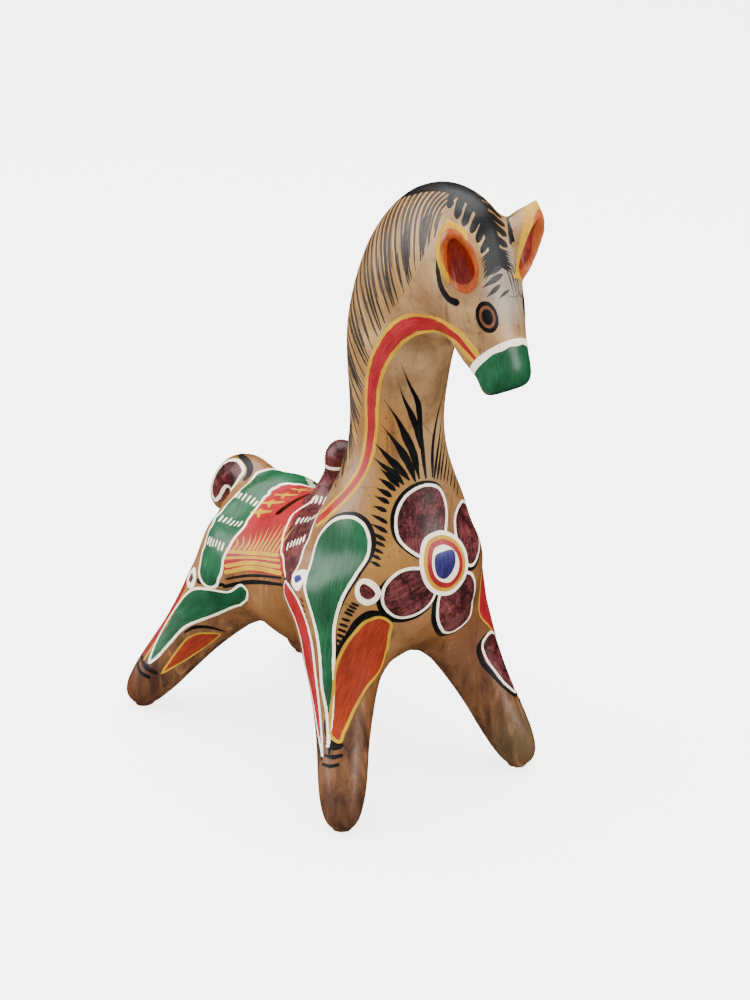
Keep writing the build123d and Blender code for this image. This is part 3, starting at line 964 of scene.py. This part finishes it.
def paint_front_legs():
    green, green_edge = Paint("shoulder_drops", "green"), Paint("shoulder_drop_outlines", "white")
    shadow = Paint("front_leg_shadows", "black")
    teardrop = [(53, -31, 138), (44, -33, 132), (37, -34, 121), (38, -38, 113), (42, -41, 103),
                (47, -44, 96),
                (52, -46, 87), (56, -47, 75), (60, -49, 61), (64, -50.5, 54), (70, -52, 38), (69.5, -49, 48),
                (67.5, -46.5, 58), (63, -43, 77), (60, -39, 92), (62, -37, 103), (67, -34, 115),
                (69, -29, 124),
                (67, -27, 132), (63, -27, 137), (59, -29, 139)]
    for side, outline in zip("rl", both_sides(teardrop)):
        if side == "l":
            outline = outline + [-9, 0, 0]
        bordered(green, green_edge, outline, 1.7, 0.16, shadow, (0.9, 0.3, -0.3))

    red, red_edge = Paint("shoulder_red_drops", "red"), Paint("shoulder_red_drop_outlines", "white")
    drop = [(22, -41, 98), (29, -42, 99), (38, -44, 98), (46, -46, 91), (51, -47, 82), (57, -49, 64),
            (63, -51, 48), (68, -54, 33), (62, -53, 40), (55, -51, 51), (46, -48, 66), (42, -46, 78),
            (37, -44, 86), (29, -42, 90), (22, -41, 92)]
    for outline in both_sides(drop):
        bordered(red, red_edge, outline, 1.3, 0.14, shadow, (-0.8, 0, 0))

    orange, gold = Paint("front_leg_leaf", "orange"), Paint("front_leg_leaf_border", "yellow")
    leaf = [(75, -27, 97), (78, -23, 93), (76, -22, 86), (72, -20.5, 77), (70, -23, 66), (71, -31, 62),
            (73, -39, 54), (74, -46, 44), (74, -49, 40), (71, -50, 41), (67, -49, 52), (65, -46, 62),
            (64, -45, 69), (64, -40, 81), (66, -35, 89), (70, -31, 95)]
    bordered(orange, gold, leaf, 1.8, 0.2, shadow, (-0.6, -0.8, 1.0))
    scarlet, thin_gold = Paint("left_shoulder_leaf", "red"), Paint("left_shoulder_leaf_border", "yellow")
    bordered(scarlet, thin_gold, [(70, 31, 99), (69, 31, 88), (69, 32, 79), (68, 39, 70), (66, 46, 62),
                                  (61, 50, 70),
                                  (58, 46, 84), (61, 42, 98), (65, 37, 104)], 1.0, 0.18)
    maroon, pale_edge = Paint("left_shin_drop", "maroon"), Paint("left_shin_drop_outline", "white")
    bordered(maroon, pale_edge, [(72, 33, 65), (70, 38, 68), (68, 45, 66), (68, 51, 56), (71, 54, 46),
                                 (76, 50, 36),
                                 (76, 44, 41), (75, 38, 50), (74, 34, 57)], 1.5, 0.18, shadow,
             (0.3, -1.3, -0.6))

    ink = Paint("front_leg_ink", "black")
    stroke(ink, [(64, -38, 86), (67, -33, 95), (72, -30, 99), (77, -27, 99)], [1.2, 1.6, 1.4, 1.2], 0.18)
    stroke(ink, [(63, -41, 79), (64, -45, 67), (68, -49, 52)], [0.8, 1.1, 0.6], 0.12)
    path = curve_through([(67, -35, 102), (64, -36, 97), (62, -38, 89), (63, -40, 84), (64, -42, 78)], False,
                         2.9)
    for x, y, z in path:
        lean = random.uniform(-0.5, 0.5)
        stroke(ink, [(x - 1.6, y - 1.0, z + lean), (x + 1.5, y + 1.2, z - 0.9)], 1.3, 0.15)
    for a, b, width in (((68, -53, 39), (76, -48, 40), 3.2), ((69, -54, 34), (77, -49, 36), 2.0),
                        ((69, -55, 30), (77, -51, 32), 1.8)):
        middle = [(p + q) / 2 for p, q in zip(a, b)]
        for points in both_sides([a, (middle[0] + 1.5, middle[1] - 1.5, middle[2]), b]):
            stroke(ink, points, [width * 0.6, width, width * 0.7], 0.18)

    bud, blue = Paint("shoulder_buds", "white"), Paint("shoulder_bud_drops", "blue")
    for points in both_sides([(30, -40, 102), (34, -40, 107), (41, -40, 108), (42, -41, 103), (40, -44, 100),
                              (33, -41, 99)]):
        fill(bud, points, 0.18)
    for points in both_sides([(32.5, -41, 102.5), (35, -41, 105), (39.5, -41, 103.5), (36, -42, 101)]):
        fill(blue, points, 0.25)
    for k in range(5):
        for points in both_sides([(41 + k, -45, 98 - 2.2 * k), (44 + k, -45, 97 - 2.2 * k)]):
            stroke(ink, points, 0.8, 0.12)


def paint_head():
    def lips(p, d, n):
        at_nose = (p[:, 0] > 100) & (p[:, 2] > 200)
        return np.where(at_nose, (p[:, 0] - 118) * 0.74 - (p[:, 2] - 223) * 0.67, -9)

    muzzle, band = Paint("muzzle", "green"), Paint("muzzle_band", "white")
    coat(muzzle, lambda p, d, n: lips(p, d, n) - 2.0)
    coat(band, lips, lambda p, d, n: 2.7 - lips(p, d, n) + 0.25 * np.sin(p[:, 1] * 0.9), lift=0.22)

    rims, mouth, glow = Paint("ear_rims", "yellow"), Paint("ear_linings", "coral"), Paint("ear_hollows",
                                                                                          "ember")
    for ear, side, centre, turn, lean in EARS:
        facing, up, wide = ear_axes(side, turn, lean)

        def place(p, axis):
            return (p - centre) @ axis

        def oval(p, size, sink=0.0, taper=0.0):
            tall = (place(p, up) + sink) / 14.6
            return 12 * (size - np.hypot(tall, place(p, wide) / (6.8 * (1 - taper * np.clip(tall, -0.6,
                                                                                            1)))))

        def on_ear(p, d, n):
            return 2.2 - d[:, names.index(ear)]

        def near_ear(p, d, n):
            return np.minimum(6.0 - d[:, names.index(ear)], place(p, facing) + 2.5)

        def cupped(p, d, n):
            away = unit(place(p, up)[:, None] * up / 3.4 + place(p, wide)[:, None] * wide)
            return n @ facing - (n * away).sum(1) + 0.15

        def painted_edge(p, d, n):
            turned_away = 3.0 - place(p, wide) if side > 0 else place(p, wide) + 2.0
            return turned_away + 0.6 * np.clip(place(p, up) - 1.0, 0, 20)

        coat(rims, on_ear, painted_edge,
             lambda p, d, n: place(p, facing) - 3.2 + 0.4 * np.clip(place(p, up) - 4.0, 0, 9),
             lambda p, d, n: -oval(p, 0.92), lift=0.2)
        coat(mouth, near_ear, cupped, lambda p, d, n: oval(p, 1.1), lift=0.14)
        coat(glow, near_ear, cupped, lambda p, d, n: oval(p, 0.74, 1.5, 0.5), lift=0.2)

    ink, iris, pupil = Paint("eye_rings", "black"), Paint("eye_irises", "brown"), Paint("eye_pupils",
                                                                                        "black")
    for centre, wide in (((122.0, -8.2, 243.8), (0.60, 0.78, 0)), ((116.0, 16.0, 243.8), (0.90, -0.42, 0))):
        centre, wide, tall = np.array(centre), np.array(wide), np.array([-0.28, 0, 0.96])
        for paint, size, lift in ((ink, 1.0, 0.16), (iris, 0.72, 0.22), (pupil, 0.50, 0.28)):
            fill(paint, [centre + wide * 4.8 * size * math.cos(a) + tall * 6.6 * size * math.sin(a)
                         for a in (2 * math.pi * k / 10 for k in range(10))], lift)

    rein, rein_edge = Paint("reins", "red"), Paint("rein_borders", "yellow")
    for points in both_sides([(122, -13.8, 225.4), (117, -15.6, 230.8), (113.5, -16.8, 234),
                              (106, -16.4, 235.2),
                              (98, -14.8, 234), (89, -14.2, 232.6), (80.5, -15.8, 229.9),
                              (73.3, -17.3, 224.7),
                              (67.4, -18.3, 217.8), (62.4, -19.3, 209.3), (58.8, -19.3, 199.1),
                              (57.1, -19.1, 188),
                              (57, -20, 174), (55, -23, 157), (49, -28, 145), (40, -31, 135),
                              (29, -30, 127)]):
        width = np.array([7.0, 8.4, 9.6, 10.6, 11.0, 10.6, 10.0, 9.4, 8.8, 8.2, 7.6, 7.0, 6.6, 6.6, 6.8, 7.2,
                          7.6])
        stroke(rein_edge, points, width, 0.13, "round", "round", waver=0.02)
        stroke(rein, points, width - 3.3, 0.2, "brush", "round", waver=0.04)

    behind = Paint("ear_arcs", "black")
    for points in ([(101, -19, 275), (101.5, -20, 267), (103, -20, 259), (105.5, -19.5, 253.5),
                    (109.5, -18.8, 250.2),
                    (114.5, -17, 249.2)],
                   [(107, 15, 282), (109, 11.5, 275), (112, 10.5, 267), (114.5, 11, 260)]):
        stroke(behind, points, np.linspace(2.0, 3.4, len(points)), 0.16, "point", "round")


def paint_mane():
    cap = Paint("mane_crest", "black")
    crest_x = [36, 50, 62, 72, 82, 92, 100, 108, 114, 117, 119.5]
    half = [2.6, 5.0, 7.6, 9.0, 7.6, 5.4, 4.0, 3.4, 3.2, 2.2, -2]

    def on_crest(p, d, n):
        return np.where((p[:, 2] > 262) & (p[:, 0] > 36), np.interp(p[:, 0], crest_x, half) - abs(p[:, 1]),
                        -3)

    coat(cap, on_crest)

    dark, pale = Paint("mane_strands_dark", "grey"), Paint("mane_strands_pale", "ochre")
    crest = [(26, 155), (28, 166), (27.5, 181), (26, 197), (25.5, 215), (30, 237), (44, 264), (58, 279),
             (74, 286),
             (88, 289), (99, 287)]
    tips = [(38, -28, 146), (42, -26, 152), (46, -22, 162), (49, -20, 176), (52, -20, 192), (56, -20, 207),
            (64, -20, 223), (73, -20, 236), (84, -20, 249), (92, -20, 262), (98, -18, 274)]
    steps = np.arange(0, len(crest) - 1, 0.12)
    for number, s in enumerate(steps):
        x, z = (np.interp(s, range(len(crest)), [c[i] for c in crest]) for i in range(2))
        tip = [np.interp(s + 0.12 * math.sin(number * 2.4), range(len(tips)),
                         [c[i] for c in tips]) for i in range(3)]
        for side in (-1, 1):
            start = np.array([x, 1.2 * side, z])
            end = np.array([tip[0], tip[1] * -side, tip[2]])
            path = [start, start + (end - start) * 0.30 + [-2, 7 * side, 2],
                    start + (end - start) * 0.66 + [-1, 5 * side, 2], end]
            width = 2.2 if number % 2 == 0 else 1.0
            stroke(dark if number % 2 == 0 else pale, path, [width * 0.7, width, width, width * 0.7], 0.11,
                   "brush", "brush")

    wedges, wisps = Paint("forelock_wedges", "black"), Paint("forelock", "grey")
    thick = [((93, -4, 288), (98, -9.4, 284), 3.8), ((98, -3, 287.5), (103.5, -10, 281), 3.8),
             ((103, -2, 286), (107.5, -9.8, 278.5), 3.6), ((107.5, -1, 283), (110.5, -8.8, 275.8), 3.4),
             ((111, -1, 280), (113, -7.8, 272.6), 3.4), ((113.5, 1, 276), (115.4, -7, 269), 3.4)]
    for start, end, width in thick:
        for points in both_sides([start, end]):
            stroke(wedges, points, [width, width * 0.8], 0.15, "brush", "brush")
    for k in range(16):
        start = (116 + 0.1 * k, 2 - 0.2 * k, 271 - 0.5 * k)
        end = (117, -7.5 + random.uniform(-1.4, 1.0), 266.5 - 0.55 * k)
        for points in both_sides([start, end]):
            stroke(wedges, points, [1.5, 0.6], 0.17, "brush", "point")
    for start, end, width in (((118.5, 3, 263), (118, -8, 259.5), 3.4),
                              ((119.5, 2, 259.5), (119, -8.6, 255.5), 3.0),
                              ((120, 0, 255.5), (120, -7, 251.5), 2.4),
                              ((120.4, 4, 252.5), (121, -2, 250), 1.6)):
        middle = [(p + q) / 2 + 0.4 for p, q in zip(start, end)]
        stroke(wisps, [start, middle, end], [width * 0.6, width, width * 0.5], 0.1, "brush", "point")
    for y in (5.5, 7.4, 9.2, 10.6):
        stroke(wisps, [(117.6, y - 2, 264), (118.8, y, 257), (120.4, y + 1.2, 248)], [0.6, 0.8, 0.4], 0.12,
               "point", "point")


def seat_turn(points):
    return np.degrees(np.arctan2(abs(points[:, 1]), points[:, 2] - BARREL_AXIS_Z))


def paint_saddle():
    seat = Paint("saddle_seat", "red")
    turns = [0, 20, 40, 55, 67, 74, 80, 104]
    rear = [-41, -40, -37, -35, -33, -31, -30, -30]
    front = [0, 0, 2, 6, 12, 18, 24, 40]
    coat(seat,
         lambda p, d, n: np.where(p[:, 2] > 70, p[:, 0] - np.interp(seat_turn(p), turns, rear), -5),
         lambda p, d, n: np.interp(seat_turn(p), turns, front) - p[:, 0],
         lambda p, d, n: (np.interp(p[:, 0], [-30, 16, 30], [102, 82, 76]) - seat_turn(p)) * 0.66,
         lambda p, d, n: slot_field(p) - 0.02,
         lambda p, d, n: d[:, names.index("saddle_horn")] - 2.0, lift=0.12)

    green, green_edge = Paint("cantle_band", "green"), Paint("cantle_band_outline", "white")
    right, left = both_sides([(-40, -44, 73), (-39, -40, 81), (-38, -36, 92), (-39, -31, 101),
                              (-42, -21, 109.5),
                              (-46, -9, 115)])
    line = np.concatenate([right, [[-47, 0, 116]], left[::-1]])
    width = np.array([14, 18, 20, 20, 18, 16, 15, 16, 18, 20, 20, 18, 14], float)
    one, two = stroke(green, line, width, 0.18)
    pick = slice(2, -2, 4)
    stroke(green_edge, np.concatenate([one[pick], two[::-1][pick]]), 1.5, 0.26, closed=True)
    marks = Paint("saddle_dashes", "white")
    dash_rows(marks, line, ((2.05, 0.0), (3.15, 0.0), (4.2, 0.4)), 6.4, 6)
    dash_rows(marks, line[::-1], ((2.05, 0.0), (3.15, 0.0), (4.2, 0.4)), 6.4, 6)

    band, band_edge = Paint("pommel_bands", "maroon"), Paint("pommel_band_outlines", "white")
    horn = Paint("saddle_horn_paint", "maroon")
    coat(horn, lambda p, d, n: np.where(p[:, 2] > 117, 2.2 - d[:, names.index("saddle_horn")], -3),
         lift=0.15)
    flank = [(7, -6, 127), (10, -14, 121), (13.5, -22, 118), (18.5, -30, 113), (22.5, -35, 108),
             (25, -39, 103),
             (27, -41, 98)]
    for points in both_sides(flank):
        sides = stroke(band, points, [17, 24, 27, 26, 22, 15, 6], 0.16, "brush", "round")
        for edge in sides:
            stroke(band_edge, edge[4::5], 1.2, 0.26)
        dash_rows(marks, points, ((0.5, 0.0), (1.9, 0.3), (3.2, 0.2)), 7.0, 6)
    ring = [(HORN_X + 9 * math.cos(a), 9 * math.sin(a), 140.5 + 1.0 * math.sin(a))
            for a in (2 * math.pi * k / 8 for k in range(8))]
    stroke(band_edge, ring, 1.7, 0.3, closed=True)

    gold, ink = Paint("seat_bands", "yellow"), Paint("flank_lines", "black")
    for drop, width in ((0.0, 1.8), (2.9, 1.2), (6.2, 1.9), (9.2, 2.1)):
        for points in both_sides([(-29, -37, 92.5 - drop), (-9, -37, 99.5 - drop * 0.85),
                                  (9 + drop * 0.9, -36, 104.5 - drop * 0.7)]):
            stroke(gold, points, width, 0.22)
    for points in both_sides([(-28, -38, 80.5), (-7, -38, 89), (17, -39.5, 97)]):
        stroke(ink, points, [1.0, 1.4, 1.0], 0.15)
    for points in both_sides([(-30, -39, 76), (-8, -38, 85.5), (19, -40, 94.5)]):
        stroke(ink, points, [1.8, 2.2, 1.2], 0.12)
    for k in range(11):
        x, z = -25.5 + 3.1 * k, 94.5 + 0.98 * k
        tall = 5.5 + 1.35 * min(k, 8)
        curl = 3.4 * (1 - k / 8)
        y = -37.0
        for points in both_sides([(x, y, z), (x + 0.9, y + 0.25 * tall, z + 0.55 * tall),
                                  (x - curl, y + 0.6 * tall, z + tall)]):
            stroke(gold, points, [1.9, 1.6, 0.9], 0.2, "round", "point")
    for y in (-24, -15, -6, 4, 14):
        stroke(gold, [(-35, y - 2, 114), (-29, y + 0.5, 115), (-21.5, y + 3, 116)], [1.6, 2.6, 1.4], 0.2)
        stroke(gold, [(-30.5, y, 115), (-26.5, y - 3.4, 114)], [2.5, 1.3], 0.2)
        stroke(gold, [(-31.5, y, 115), (-30, y + 3.8, 114)], [2.5, 1.3], 0.2)


def dash_rows(paint, line, rows, spread, count):
    """Short dashes side by side across a band. rows are (place along the line, lean)."""
    line = np.asarray(line, float)
    for place, lean in rows:
        here = np.array([np.interp(place, range(len(line)), line[:, i]) for i in range(3)])
        ahead = np.array([np.interp(place + 0.3, range(len(line)), line[:, i]) for i in range(3)]) - here
        spot, outward = settle([here])
        along = unit(ahead - outward[0] * (ahead @ outward[0]))
        side = np.cross(outward[0], along)
        for k in range(count):
            off = (k / (count - 1) - 0.5) * 2 * spread
            middle = spot[0] + side * off + along * (lean * off * 0.3 + random.uniform(-0.5, 0.5))
            long = random.uniform(1.8, 2.4)
            stroke(paint, [middle - along * long, middle + along * long], random.uniform(1.1, 1.5), 0.28)


def paint_tail_and_rear_legs():
    patch, edge = Paint("tail_patch", "maroon"), Paint("tail_patch_outline", "white")
    ink = Paint("rear_ink", "black")
    for points in both_sides([(-60.5, -7, 115.5), (-68, -5, 118), (-77, -5.5, 116), (-85, -7, 107),
                              (-88, -6.5, 98),
                              (-86, -8.5, 91), (-81, -10, 94), (-75, -11, 101), (-64, -12.5, 106)]):
        bordered(patch, edge, points, 2.0, 0.16)
    stroke(ink, [(-76, 0, 119), (-69.7, -2.5, 119), (-63, -3.6, 118.4), (-59.3, -5, 117),
                 (-57.5, -7.5, 114.5),
                 (-58.5, -10, 112)], [1.4, 3.0, 3.4, 3.4, 3.0, 2.0], 0.13)

    leaf, leaf_edge = Paint("thigh_leaves", "green"), Paint("thigh_leaf_outlines", "white")
    for points in both_sides([(-49, -46, 69), (-37, -42, 73), (-27, -39, 75), (-16, -39, 81), (-12, -39, 79),
                              (-15, -37, 73), (-30, -38, 63), (-40, -44, 56), (-50.5, -49, 48.5),
                              (-58, -53.5, 38),
                              (-65, -58, 28), (-67, -60, 26), (-67, -54, 41), (-60, -48, 56)]):
        bordered(leaf, leaf_edge, points, 1.5, 0.18)
    orange, gold = Paint("thigh_orange_leaves", "orange"), Paint("thigh_lines", "yellow")
    for points in both_sides([(-50, -49, 43.5), (-44, -44.6, 47.6), (-38.5, -36.9, 46.3),
                              (-43.5, -39.5, 40.5),
                              (-49, -44, 34.6), (-55.5, -51, 27.3), (-61.5, -57, 22), (-57.5, -54, 31),
                              (-54, -51.5, 37.5)]):
        bordered(orange, gold, points, 1.0, 0.16)
    for points in both_sides([(-53, -45, 70), (-58, -47, 59), (-63, -52, 45), (-69, -57, 34),
                              (-72, -60, 26)]):
        stroke(gold, points, 1.2, 0.2)
    stripe = Paint("thigh_stripes", "red")
    for points in both_sides([(-57, -43, 74), (-60, -46, 63), (-64, -48, 53), (-70, -54, 38),
                              (-75, -59, 27)]):
        stroke(stripe, points, [2.6, 3.6, 4.0, 3.6, 2.4], 0.14)
    bud, heart = Paint("hip_buds", "white"), Paint("hip_bud_drops", "maroon")
    for points in both_sides([(-52, -43, 78), (-48, -44, 75), (-48, -45.5, 70), (-53, -46, 68),
                              (-57, -43, 71)]):
        fill(bud, points, 0.2)
    for points in both_sides([(-52.5, -43, 75), (-50, -44, 73), (-51, -45, 71), (-54, -44, 71)]):
        fill(heart, points, 0.27)
    for points in both_sides([(-51, -50, 46), (-46, -47, 50), (-40, -41, 51), (-37, -35, 48)]):
        stroke(ink, points, [0.8, 1.8, 1.6, 0.8], 0.14)
    for points in both_sides([(-47, -45, 73.5), (-38, -43, 75), (-28, -40, 77.5)]):
        stroke(ink, points, [2.4, 2.6, 1.6], 0.1)
    for a, b, width in (((-76, -58, 27), (-63, -58, 22), 2.8), ((-77, -60, 23), (-66, -60, 19), 2.2)):
        middle = [(p + q) / 2 for p, q in zip(a, b)]
        for points in both_sides([a, (middle[0], middle[1] - 4, middle[2]), b]):
            stroke(ink, points, [width * 0.7, width, width * 0.7], 0.16)


paint_chest()
paint_front_legs()
paint_head()
paint_mane()
paint_saddle()
paint_tail_and_rear_legs()
for paint in Paint.made:
    paint.build()


# ---------------------------------------------------------------- floor, light and camera
def pale(name, colour, rough, glow):
    s = Shader(name)
    s.surface.inputs["Base Color"].default_value = (*colour, 1)
    s.surface.inputs["Roughness"].default_value = rough
    s.surface.inputs["Specular IOR Level"].default_value = 0.2
    s.surface.inputs["Emission Color"].default_value = (*colour, 1)
    s.surface.inputs["Emission Strength"].default_value = glow
    return s.material


def build_stage():
    bpy.ops.mesh.primitive_circle_add(vertices=96, radius=6.0, fill_type="NGON", location=(0, 0, 0))
    floor = bpy.context.object
    floor.name = "floor"
    floor.data.materials.append(pale("studio_floor", (0.80, 0.80, 0.785), 0.85, 4.2))
    floor.visible_diffuse = False
    floor.visible_glossy = False


def area_light(name, place, aim, width, height, power):
    data = bpy.data.lights.new(name, "AREA")
    data.shape = "RECTANGLE"
    data.size, data.size_y, data.energy = width, height, power
    made = bpy.data.objects.new(name, data)
    made.location = place
    made.rotation_mode = "QUATERNION"
    made.rotation_quaternion = (Vector(aim) - Vector(place)).to_track_quat("-Z", "Y")
    bpy.context.scene.collection.objects.link(made)


def build_lights():
    world = bpy.data.worlds.new("studio")
    world.use_nodes = True
    world.node_tree.nodes["Background"].inputs["Color"].default_value = (0.93, 0.94, 0.95, 1)
    world.node_tree.nodes["Background"].inputs["Strength"].default_value = 1.6
    world.cycles_visibility.glossy = False
    bpy.context.scene.world = world
    middle = (0.0, 0.0, 0.14)
    area_light("softbox_left", (-0.85, -1.15, 0.80), middle, 1.7, 1.5, 36)
    area_light("softbox_right", (1.35, 0.75, 0.65), middle, 0.7, 0.9, 14)
    area_light("softbox_top", (-0.2, 0.2, 1.6), middle, 1.8, 1.8, 46)


def build_camera():
    turn, rise, away = math.radians(53.58), math.radians(23.0), 1.19837
    data = bpy.data.cameras.new("camera")
    data.sensor_width = 36.0
    data.lens = 96.17
    made = bpy.data.objects.new("camera", data)
    back = Vector((math.sin(turn) * math.cos(rise), -math.cos(turn) * math.cos(rise), math.sin(rise)))
    made.location = Vector(to_row([34.1, 0.0, 131.0])) + back * away
    made.rotation_mode = "QUATERNION"
    made.rotation_quaternion = (-back).to_track_quat("-Z", "Y")
    bpy.context.scene.collection.objects.link(made)
    bpy.context.scene.camera = made


build_stage()
build_lights()
build_camera()
